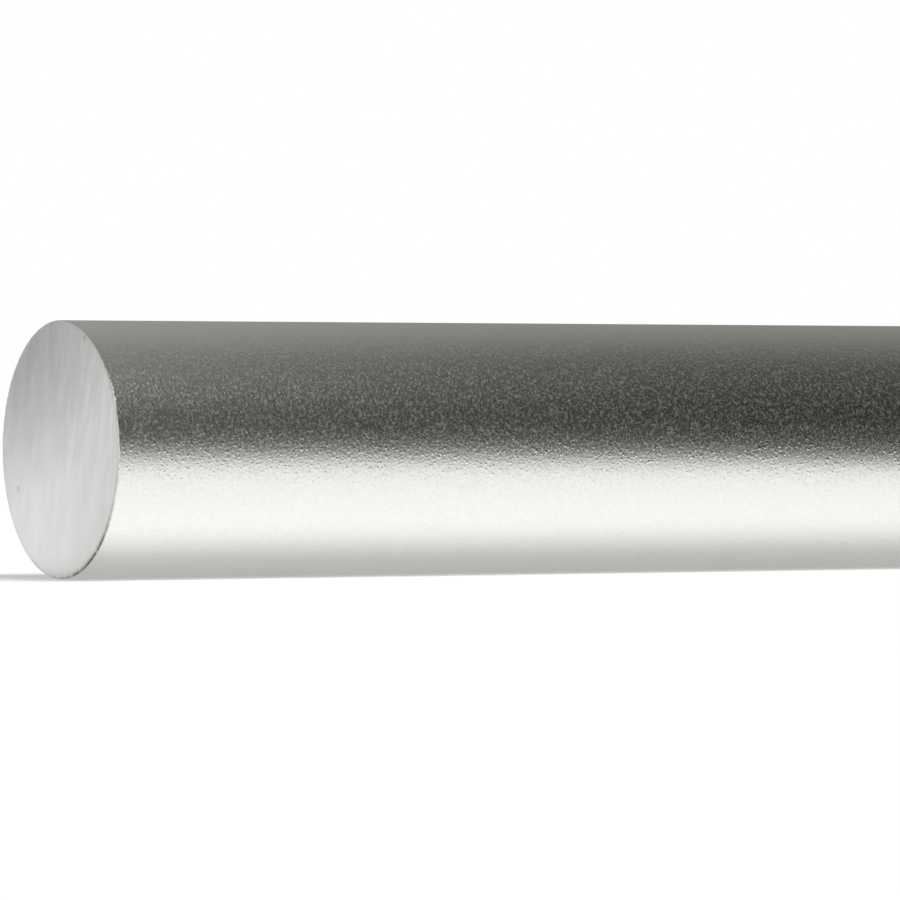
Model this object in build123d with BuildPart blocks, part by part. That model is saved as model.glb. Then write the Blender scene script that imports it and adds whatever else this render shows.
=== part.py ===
from build123d import *
import os

# Round metal bar: one cut length of solid round stock, sawn square at both ends.
# Millimetres. The bar lies along X with +Z up. The origin is on the floor line,
# under the middle of the bar.

# Driving dimensions
bar_diameter = 25.4  # nominal stock size, 1 in
bar_length = 304.8  # sawn length, 12 in
edge_break = 0.15  # leg of the 45 degree deburring round each sawn end

# Derived places
bar_radius = bar_diameter / 2
axis_height = bar_radius  # the bar rests on its own curved side
mid_section = Plane.YZ.shift_origin((0, 0, axis_height))

# The bar: a round section drawn out equally to both sides of the middle, then
# the sharp rim of each saw cut knocked off by the same small chamfer.
with BuildPart() as bar:
    with BuildSketch(mid_section):
        Circle(bar_radius)
    extrude(amount=bar_length / 2, both=True)
    sawn_faces = bar.faces().filter_by(Axis.X)
    chamfer(sawn_faces.edges(), length=edge_break)

bar.part.label = "bar"

os.makedirs("parts", exist_ok=True)
export_step(bar.part, "parts/bar.step")
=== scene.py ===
import math

import bmesh
import bpy
from mathutils import Matrix, Vector, noise


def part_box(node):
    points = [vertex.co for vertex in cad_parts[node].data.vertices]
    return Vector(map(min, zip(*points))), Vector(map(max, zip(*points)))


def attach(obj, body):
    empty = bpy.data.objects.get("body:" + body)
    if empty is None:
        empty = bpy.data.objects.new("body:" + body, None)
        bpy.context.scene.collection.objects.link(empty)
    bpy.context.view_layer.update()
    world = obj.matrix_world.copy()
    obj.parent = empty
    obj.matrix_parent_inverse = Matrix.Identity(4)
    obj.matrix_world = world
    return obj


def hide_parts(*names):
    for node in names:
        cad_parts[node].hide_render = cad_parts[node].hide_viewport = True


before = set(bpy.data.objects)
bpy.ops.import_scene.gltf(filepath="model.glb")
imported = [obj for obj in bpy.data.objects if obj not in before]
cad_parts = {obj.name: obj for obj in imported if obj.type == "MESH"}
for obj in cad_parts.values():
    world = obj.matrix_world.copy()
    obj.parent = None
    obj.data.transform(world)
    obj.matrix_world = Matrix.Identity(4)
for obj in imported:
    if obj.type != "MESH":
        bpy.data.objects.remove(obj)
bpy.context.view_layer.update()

# A length of round aluminium bar with a fine satin skin, sawn square at both ends.
# Metres, in the frame's own axes: the bar lies along X on the floor at z = 0.

# Sizes taken from the frame
low_corner, high_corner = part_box("bar")
half_length = (high_corner.x - low_corner.x) / 2
bar_radius = (high_corner.y - low_corner.y) / 2
axis_height = (high_corner.z + low_corner.z) / 2

# Bar mesh
rim_steps = 512  # points round the bar
side_rings = 24  # rings along each half of the side
rim_band = 0.00025  # flat ring between the saw marks and the broken edge
saw_pitch = 0.00022  # spacing of the cut lines across the saw marks
saw_step = 0.0003  # spacing of the cut lines along the saw marks
saw_lean = math.radians(10)  # how far the saw marks lean from upright
edge_round = 0.00006  # the sawn edge, just broken by hand
lip_width = 0.00014  # the saw's burr, and the fine crease behind it
crease_depth = 0.00005
rim_wander = 0.00012  # how far the rim of the cut wanders inwards
rim_waves = 45  # waves of that wander in each radian
burr_side = math.radians(-57)  # where on the rim, from the front, the saw left its burr
burr_shade_width = 0.0003  # how far the painted shade of the burr's line reaches in over the face
coarse_rag = 22  # waves of the burr's raggedness in each radian
fine_rag = 60
side_shade_share = 0.28  # painted shade: the cut is painted up to this much darker towards the rim on the burr's side
knock_darkening = 0.5  # how much darker the knocks in the sawn faces are painted

# Saw marks: each is (width across the mark, length along it, depth)
saw_marks = [
    (0.0018, 0.009, 0.000008),
    (0.0032, 0.030, 0.000016),
]
# Small knocks in the sawn faces: (y, z from the axis, width, depth)
knocks = [
    (-0.0052, 0.0110, 0.00020, 0.00002),
    (0.0092, -0.0039, 0.00022, 0.00002),
]

# Satin skin: the scales are in waves or specks a metre
grain_scale = 3800
speck_scale = 2000
speck_height = 0.62  # beside the grain's height of 1
cloud_scale = 420  # patches of weaker and stronger grain
grain_depth = 0.00003
frost_scale = 3000
mottle_scale = 2600
skin_dark = (0.860, 0.865, 0.830, 1)
skin_pale = (0.950, 0.955, 0.920, 1)
# The colour that the painted shade along the burr, and the darker knocks, mix towards
shade_and_knock_colour = (0.16, 0.15, 0.13, 1)

# Sawn faces
streak_scale = 560
streak_stretch = 3.2
streak_depth = 0.00004
cut_dark = (0.770, 0.772, 0.768, 1)
cut_bright = (0.980, 0.982, 0.972, 1)
cut_roughness = 0.3

# View
view_turn = math.radians(30.05)  # turned from straight across the bar towards its length
view_drop = math.radians(0.396)
stand_off = 0.6529  # from the lens to the near sawn face, along the view
near_end_shift = 0.0383  # the near sawn face lies this far left of the view's middle
near_end_rise = 0.000035  # and this far above it
lens_length = 266.2

# Studio
floor_size = 60
floor_colour = (0.72, 0.72, 0.72, 1)
floor_glow = 0.26  # lifts the unshaded floor to white
soft_level = 0.35  # how strongly the white surroundings light the bar and the floor
hood_reach = 0.0715  # from the floor line under the bar to the foot of the hood
hood_end = 0.0390  # from the bar's end to the hood's open end
hood_middle = 0.444  # share of that reach at the front, from the bar's middle on
hood_flare = 1.30  # how much it grows from the middle to the near end
far_until = -0.03  # along X, the far greys hold up to here
near_from = -0.13  # and the near greys hold from here
near_power = 2.2  # how late the near greys come in between
# Greys glowing inside the hood, painted studio light and shade for the bar to reflect: (share of the
# way from the front foot to the back foot, grey, its blue)
far_greys = [
    (0.0, 0.060, 0.054),
    (0.05, 0.028, 0.024),
    (0.2, 0.015, 0.011),
    (0.3, 0.016, 0.011),
    (0.43, 0.066, 0.058),
    (0.55, 0.178, 0.166),
    (0.7, 0.268, 0.254),
    (0.89, 0.262, 0.251),
    (1.0, 0.700, 0.700),
]
near_greys = [
    (0.0, 0.085, 0.077),
    (0.05, 0.060, 0.052),
    (0.15, 0.054, 0.045),
    (0.3, 0.132, 0.121),
    (0.45, 0.200, 0.188),
    (0.6, 0.318, 0.302),
    (0.75, 0.335, 0.324),
    (0.88, 0.265, 0.265),
    (0.91, 0.360, 0.360),
    (0.95, 0.660, 0.660),
    (1.0, 0.900, 0.900),
]


def saw_wave(width, length, y, z, end):
    """Height of one set of saw marks, from -1 to 1, at a point of a sawn face."""
    u = y * math.cos(saw_lean) + z * math.sin(saw_lean)
    v = z * math.cos(saw_lean) - y * math.sin(saw_lean)
    return noise.noise(Vector((u / width, v / length, 7.3 * end)))


def knock_share(y, z, knock_y, knock_z, width):
    """How deep in a knock a point of a sawn face lies: 1 in its middle, 0 far from it."""
    away = math.hypot(y - knock_y, z - knock_z) / width
    return math.exp(-away * away)


def saw_relief(y, z, end):
    """How far a point of a sawn face lies behind the flat of the cut."""
    depth = 0
    for width, length, height in saw_marks:
        depth += height * (1 + saw_wave(width, length, y, z, end)) / 2
    for knock_y, knock_z, width, height in knocks:
        depth += height * knock_share(y, z, knock_y, knock_z, width)
    return depth


def burr_share(angle, end):
    """How strongly the saw's burr stands at this angle round the rim, from 0 to 1: it sets the depth of
    the crease and how dark the painted shade along the burr is.
    """
    side = math.cos(angle - burr_side)
    faint = max(0, side - 0.3) / 0.7
    strong = max(0, side - 0.8) / 0.2
    ragged = 0.9 + 0.5 * noise.noise(Vector((angle * coarse_rag, 3.1, 5.7 * end)))
    ragged += 0.5 * noise.noise(Vector((angle * fine_rag, 8.4, 5.7 * end)))
    return min(1, (0.12 + 0.2 * faint + 0.65 * strong * strong) * ragged)


def face_shade_and_knocks(y, z, end):
    """How dark a point of a sawn face is painted: painted shade in a line along the burr and over the
    side by it, and darker knocks.
    """
    reach = math.hypot(y, z)
    angle = math.atan2(z, -y)
    inset = (bar_radius - reach) / burr_shade_width
    # Painted shade in a thin ragged line along the burr
    line = burr_share(angle, end) * math.exp(-inset * inset)
    # Painted shade: darker towards the rim on the burr's side
    dull = side_shade_share * max(0, math.cos(angle - burr_side)) * (reach / bar_radius) ** 2
    # The knocks are painted darker
    knock_dark = 0
    for knock_y, knock_z, width, _ in knocks:
        knock_dark += knock_darkening * knock_share(y, z, knock_y, knock_z, width)
    return min(1, line + dull + knock_dark)


def everything(mesh):
    return list(mesh.verts) + list(mesh.edges) + list(mesh.faces)


def finished(name, mesh, *materials):
    """Turns a finished bmesh into an object of the scene."""
    data = bpy.data.meshes.new(name)
    mesh.to_mesh(data)
    mesh.free()
    for material in materials:
        data.materials.append(material)
    item = bpy.data.objects.new(name, data)
    bpy.context.scene.collection.objects.link(item)
    return item


def ring_of(mesh, edges, radius, depth):
    """Draws a ring of edges out to a new radius and depth behind the sawn face."""
    grown = bmesh.ops.extrude_edge_only(mesh, edges=edges)["geom"]
    for vert in (item for item in grown if isinstance(item, bmesh.types.BMVert)):
        spoke = Vector((0, vert.co.y, vert.co.z - axis_height)).normalized()
        vert.co = Vector((depth - half_length, 0, axis_height)) + spoke * radius
    return [item for item in grown if isinstance(item, bmesh.types.BMEdge)]


def cut_face(mesh, disc):
    """Cuts the sawn face into small cells that lean with the saw marks."""
    cut = disc + list(disc[0].edges) + list(disc[0].verts)
    across = Vector((0, math.cos(saw_lean), math.sin(saw_lean)))
    upward = Vector((0, -math.sin(saw_lean), math.cos(saw_lean)))
    middle = Vector((-half_length, 0, axis_height))
    for direction, pitch in ((across, saw_pitch), (upward, saw_step)):
        lines = int(bar_radius / pitch)
        for line in range(-lines, lines + 1):
            place = middle + direction * pitch * line
            cut = bmesh.ops.bisect_plane(
                mesh, geom=cut, dist=1e-7, plane_co=place, plane_no=direction
            )["geom"]


def sawn_bar():
    """The bar as one closed skin: half of it is drawn out and mirrored."""
    mesh = bmesh.new()
    turned = Matrix.Rotation(math.pi / 2, 4, "Y")
    place = Matrix.Translation((-half_length, 0, axis_height)) @ turned
    bmesh.ops.create_circle(
        mesh, cap_ends=True, radius=bar_radius - edge_round, segments=rim_steps, matrix=place
    )
    disc = list(mesh.faces)
    bmesh.ops.inset_region(
        mesh, faces=disc, thickness=rim_band, use_boundary=True, use_even_offset=True
    )
    rim = [edge for edge in mesh.edges if edge.is_boundary]
    cut_face(mesh, disc)

    behind_lip = edge_round + 2 * lip_width
    edges = ring_of(mesh, rim, bar_radius, edge_round)
    edges = ring_of(mesh, edges, bar_radius, edge_round + lip_width)
    edges = ring_of(mesh, edges, bar_radius, behind_lip)
    for ring in range(1, side_rings + 1):
        depth = behind_lip + (half_length - behind_lip) * ring / side_rings
        edges = ring_of(mesh, edges, bar_radius, depth)

    bmesh.ops.mirror(mesh, geom=everything(mesh), axis="X", merge_dist=1e-6)
    bmesh.ops.recalc_face_normals(mesh, faces=mesh.faces)
    part_faces(mesh)
    finish_ends(mesh)

    bar = finished("sawn_bar", mesh, satin_metal(), sawn_metal())
    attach(bar, "root")
    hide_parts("bar")
    return bar


def part_faces(mesh):
    """Gives the sawn faces their own material, with a sharp line between them and the skin."""
    for face in mesh.faces:
        face.smooth = True
        face.material_index = 1 if abs(face.normal.x) > 0.9 else 0
    for edge in mesh.edges:
        slots = {face.material_index for face in edge.link_faces}
        edge.smooth = len(slots) == 1


def draw_in(vert, distance):
    """Moves a point towards the bar's axis."""
    shrink = 1 - distance / bar_radius
    vert.co.y = vert.co.y * shrink
    vert.co.z = axis_height + (vert.co.z - axis_height) * shrink


def finish_ends(mesh):
    """Sinks the saw marks and the burr's crease, and notes how dark each point is painted: painted
    shade along the burr and by it, and darker knocks.
    """
    burr = mesh.verts.layers.float.new("burr")
    face_edge = bar_radius - edge_round - rim_band / 2
    rim_edge = bar_radius - edge_round / 2
    crease = half_length - edge_round - lip_width
    slack = 1e-7
    for vert in mesh.verts:
        end = math.copysign(1, vert.co.x)
        y, z = vert.co.y, vert.co.z - axis_height
        angle = math.atan2(z, -y)
        reach = math.hypot(y, z)
        if abs(vert.co.x) > half_length - slack and reach < rim_edge:
            if reach < face_edge:
                vert.co.x -= end * saw_relief(y, z, end)
            else:
                wander = max(0, noise.noise(Vector((angle * rim_waves, 1.7, 2.9 * end))))
                draw_in(vert, rim_wander * wander)
            vert[burr] = face_shade_and_knocks(y, z, end)
        elif abs(vert.co.x) > crease + slack:
            # Painted shade over the broken edge and the lip, as strong as the burr there
            vert[burr] = burr_share(angle, end)
        elif abs(vert.co.x) > crease - slack:
            draw_in(vert, crease_depth * burr_share(angle, end))


def node_material(name):
    material = bpy.data.materials.new(name)
    material.use_nodes = True
    nodes = material.node_tree.nodes
    return material, nodes, material.node_tree.links, nodes["Principled BSDF"]


def stage_material(name):
    """An empty material for the studio, whose glow is not sampled as a lamp."""
    material = bpy.data.materials.new(name)
    material.use_nodes = True
    material.cycles.emission_sampling = "NONE"
    nodes = material.node_tree.nodes
    nodes.clear()
    return material, nodes, material.node_tree.links, nodes.new("ShaderNodeOutputMaterial")


def add_node(nodes, kind, **values):
    node = nodes.new(kind)
    for name, value in values.items():
        node.inputs[name.replace("_", " ")].default_value = value
    return node


def add_math(nodes, operation, value=None):
    node = nodes.new("ShaderNodeMath")
    node.operation = operation
    if value is not None:
        node.inputs[1].default_value = value
    return node


def add_mix(nodes, first=None, second=None):
    """Mixes two colours: they enter at sockets 6 and 7 and leave at socket 2."""
    node = nodes.new("ShaderNodeMix")
    node.data_type = "RGBA"
    if first:
        node.inputs[6].default_value = first
    if second:
        node.inputs[7].default_value = second
    return node


def paint_shade_and_knocks(nodes, links, clean, shader):
    """Darkens a clean colour by the burr attribute, on its way to the shader: painted shade along the
    burr and by it, and darker knocks.
    """
    attribute = nodes.new("ShaderNodeAttribute")
    attribute.attribute_name = "burr"
    darkened = add_mix(nodes, second=shade_and_knock_colour)
    links.new(attribute.outputs["Fac"], darkened.inputs[0])
    links.new(clean.outputs[2], darkened.inputs[6])
    links.new(darkened.outputs[2], shader.inputs["Base Color"])


def satin_metal():
    """Fine satin skin: an even blasted grain, with small round specks that glint."""
    material, nodes, links, shader = node_material("satin_metal")
    place = nodes.new("ShaderNodeTexCoord")
    grain = add_node(nodes, "ShaderNodeTexNoise", Scale=grain_scale, Detail=1.5, Roughness=0.6)
    cells = add_node(nodes, "ShaderNodeTexVoronoi", Scale=speck_scale)
    specks = add_node(nodes, "ShaderNodeMapRange", From_Min=0.36, From_Max=0.1, To_Min=0, To_Max=1)
    height = add_math(nodes, "MULTIPLY_ADD", speck_height)
    cloud = add_node(nodes, "ShaderNodeTexNoise", Scale=cloud_scale, Detail=2, Roughness=0.6)
    uneven = add_node(nodes, "ShaderNodeMapRange", From_Min=0.35, From_Max=0.65, To_Min=0.6, To_Max=1)
    bump = add_node(nodes, "ShaderNodeBump", Distance=grain_depth)
    for texture in (grain, cells, cloud):
        links.new(place.outputs["Object"], texture.inputs["Vector"])
    links.new(cells.outputs["Distance"], specks.inputs["Value"])
    links.new(specks.outputs["Result"], height.inputs[0])
    links.new(grain.outputs["Fac"], height.inputs[2])
    links.new(cloud.outputs["Fac"], uneven.inputs["Value"])
    links.new(uneven.outputs["Result"], bump.inputs["Strength"])
    links.new(height.outputs[0], bump.inputs["Height"])
    links.new(bump.outputs["Normal"], shader.inputs["Normal"])

    frost = add_node(nodes, "ShaderNodeTexNoise", Scale=frost_scale, Detail=1, Roughness=0.5)
    pale = add_node(nodes, "ShaderNodeMapRange", From_Min=0.42, From_Max=0.85, To_Min=1, To_Max=0.94)
    dull = add_node(nodes, "ShaderNodeMapRange", From_Min=0.45, From_Max=0.85, To_Min=0.32, To_Max=0.49)
    links.new(place.outputs["Object"], frost.inputs["Vector"])
    links.new(frost.outputs["Fac"], pale.inputs["Value"])
    links.new(frost.outputs["Fac"], dull.inputs["Value"])
    links.new(pale.outputs["Result"], shader.inputs["Metallic"])
    links.new(dull.outputs["Result"], shader.inputs["Roughness"])

    mottle = add_node(nodes, "ShaderNodeTexNoise", Scale=mottle_scale, Detail=2, Roughness=0.5)
    skin = add_mix(nodes, skin_dark, skin_pale)
    links.new(place.outputs["Object"], mottle.inputs["Vector"])
    links.new(mottle.outputs["Fac"], skin.inputs[0])
    # Painted shade along the burr over the broken edge and the lip
    paint_shade_and_knocks(nodes, links, skin, shader)
    return material


def sawn_metal():
    """Bright freshly cut metal, with fine saw marks leaning the way the blade ran."""
    material, nodes, links, shader = node_material("sawn_metal")
    place = nodes.new("ShaderNodeTexCoord")
    lean = add_node(
        nodes, "ShaderNodeMapping", Rotation=(saw_lean, 0, 0), Scale=(1, 1, streak_stretch)
    )
    lean.vector_type = "TEXTURE"
    streaks = add_node(nodes, "ShaderNodeTexNoise", Scale=streak_scale, Detail=3, Roughness=0.5)
    bump = add_node(nodes, "ShaderNodeBump", Distance=streak_depth)
    tone = add_mix(nodes, cut_dark, cut_bright)
    links.new(place.outputs["Object"], lean.inputs["Vector"])
    links.new(lean.outputs["Vector"], streaks.inputs["Vector"])
    links.new(streaks.outputs["Fac"], bump.inputs["Height"])
    links.new(bump.outputs["Normal"], shader.inputs["Normal"])
    links.new(streaks.outputs["Fac"], tone.inputs[0])
    # Painted shade along the burr and over the side by it, and darker knocks
    paint_shade_and_knocks(nodes, links, tone, shader)
    shader.inputs["Metallic"].default_value = 1
    shader.inputs["Roughness"].default_value = cut_roughness
    return material


def seen_directly(nodes, links):
    """1 for what the camera sees straight on, in a reflection or through glass, else 0."""
    path = nodes.new("ShaderNodeLightPath")
    first = add_math(nodes, "MAXIMUM")
    second = add_math(nodes, "MAXIMUM")
    links.new(path.outputs["Is Camera Ray"], first.inputs[0])
    links.new(path.outputs["Is Glossy Ray"], first.inputs[1])
    links.new(first.outputs[0], second.inputs[0])
    links.new(path.outputs["Is Transmission Ray"], second.inputs[1])
    return second.outputs[0]


def white_floor():
    """A large pale floor that is white where the bar doesn't shade it."""
    material, nodes, links, output = stage_material("white_floor")
    paper = add_node(nodes, "ShaderNodeBsdfDiffuse", Color=floor_colour)
    glow = nodes.new("ShaderNodeEmission")
    scale = add_math(nodes, "MULTIPLY", floor_glow)
    both = nodes.new("ShaderNodeAddShader")
    links.new(seen_directly(nodes, links), scale.inputs[0])
    links.new(scale.outputs[0], glow.inputs["Strength"])
    links.new(paper.outputs[0], both.inputs[0])
    links.new(glow.outputs[0], both.inputs[1])
    links.new(both.outputs[0], output.inputs["Surface"])

    mesh = bmesh.new()
    bmesh.ops.create_grid(mesh, x_segments=1, y_segments=1, size=floor_size / 2)
    floor = finished("floor", mesh, material)


def grey_ramp(nodes, greys):
    ramp = nodes.new("ShaderNodeValToRGB")
    while len(ramp.color_ramp.elements) < len(greys):
        ramp.color_ramp.elements.new(0.5)
    for element, (position, grey, blue) in zip(ramp.color_ramp.elements, greys):
        element.position = position
        element.color = (grey, grey, blue, 1)
    return ramp


def hood_greys():
    """Glowing greys, painted studio light and shade, that run over the hood from foot to foot, and
    change along it to the near end.
    """
    material, nodes, links, output = stage_material("grey_hood")
    place = nodes.new("ShaderNodeTexCoord")
    split = nodes.new("ShaderNodeSeparateXYZ")
    front = add_math(nodes, "MULTIPLY", -1)
    angle = add_math(nodes, "ARCTAN2")
    turn = add_math(nodes, "DIVIDE", math.pi)
    far = grey_ramp(nodes, far_greys)
    near = grey_ramp(nodes, near_greys)
    lengthwise = add_node(nodes, "ShaderNodeMapRange", From_Min=far_until, From_Max=near_from)
    steeper = add_math(nodes, "POWER", near_power)
    shade = add_mix(nodes)
    glow = nodes.new("ShaderNodeEmission")
    links.new(place.outputs["Object"], split.inputs[0])
    links.new(split.outputs["Y"], front.inputs[0])
    links.new(split.outputs["Z"], angle.inputs[0])
    links.new(front.outputs[0], angle.inputs[1])
    links.new(angle.outputs[0], turn.inputs[0])
    links.new(turn.outputs[0], far.inputs["Fac"])
    links.new(turn.outputs[0], near.inputs["Fac"])
    links.new(far.outputs["Color"], shade.inputs[6])
    links.new(near.outputs["Color"], shade.inputs[7])
    links.new(split.outputs["X"], lengthwise.inputs["Value"])
    links.new(lengthwise.outputs["Result"], steeper.inputs[0])
    links.new(steeper.outputs[0], shade.inputs[0])
    links.new(shade.outputs[2], glow.inputs["Color"])
    links.new(glow.outputs[0], output.inputs["Surface"])
    return material


def slice_through(mesh, place, facing, clear=True):
    bmesh.ops.bisect_plane(
        mesh, geom=everything(mesh), dist=1e-6, plane_co=place, plane_no=facing, clear_outer=clear
    )


def grey_hood():
    """A glowing grey hood over the bar, which only reflections see: its greys are painted studio light
    and shade for the bar to reflect.
    """
    mesh = bmesh.new()
    bmesh.ops.create_uvsphere(mesh, u_segments=96, v_segments=48, radius=hood_reach)
    slice_through(mesh, (0, 0, 0), (0, 0, -1))
    for vert in mesh.verts:
        vert.co.x += math.copysign(half_length, vert.co.x) if abs(vert.co.x) > 1e-6 else 0
    for way in (-1, 1):
        slice_through(mesh, (way * (half_length + hood_end), 0, 0), (way, 0, 0))
    slice_through(mesh, (0, 0, 0), (1, 0, 0), clear=False)
    for vert in mesh.verts:
        if vert.co.y < 0:
            vert.co.y *= hood_middle + hood_flare * max(0, -vert.co.x / half_length)
    hood = finished("hood", mesh, hood_greys())
    hood.visible_camera = False
    hood.visible_diffuse = False
    hood.visible_transmission = False
    hood.visible_volume_scatter = False
    hood.visible_shadow = False


def add_lamp(name, strength, spread, tilt, turn):
    """A far lamp; its spread, its tilt from straight down and its turn are in degrees."""
    lamp = bpy.data.lights.new(name, "SUN")
    lamp.energy = strength
    lamp.angle = math.radians(spread)
    holder = bpy.data.objects.new(name, lamp)
    bpy.context.scene.collection.objects.link(holder)
    holder.rotation_euler = (math.radians(tilt), 0, math.radians(turn))
    return holder


def studio_light():
    """White surroundings with a soft light all round, a broad lamp and a weak glint lamp."""
    world = bpy.data.worlds.new("studio")
    bpy.context.scene.world = world
    world.use_nodes = True
    nodes = world.node_tree.nodes
    links = world.node_tree.links
    background = nodes["Background"]
    level = add_node(nodes, "ShaderNodeMapRange", To_Min=soft_level, To_Max=1)
    links.new(seen_directly(nodes, links), level.inputs["Value"])
    links.new(level.outputs["Result"], background.inputs["Strength"])
    background.inputs["Color"].default_value = (1, 1, 1, 1)
    world.cycles.sampling_method = "NONE"

    # The broad lamp lights the bar and the floor but isn't mirrored in the bar
    broad = add_lamp("broad_lamp", strength=2.5, spread=38, tilt=28, turn=40)
    broad.visible_glossy = False
    # The small one is only mirrored, so that steep specks of the grain catch it
    glint = add_lamp("glint_lamp", strength=0.23, spread=3, tilt=40.3, turn=-1.6)
    glint.visible_diffuse = False


def camera():
    forward = Vector((math.sin(view_turn), math.cos(view_turn), 0))
    right = Vector((math.cos(view_turn), -math.sin(view_turn), 0))
    ahead = forward * math.cos(view_drop) - Vector((0, 0, math.sin(view_drop)))
    near_face = Vector((-half_length, 0, axis_height))
    data = bpy.data.cameras.new("camera")
    data.lens = lens_length
    data.clip_start = 0.01
    view = bpy.data.objects.new("camera", data)
    view.location = near_face - ahead * stand_off + right * near_end_shift
    view.location.z -= near_end_rise
    view.rotation_euler = ahead.to_track_quat("-Z", "Y").to_euler()
    bpy.context.scene.collection.objects.link(view)
    bpy.context.scene.camera = view


sawn_bar()
white_floor()
grey_hood()
studio_light()
camera()
bpy.context.scene.view_settings.view_transform = "Standard"
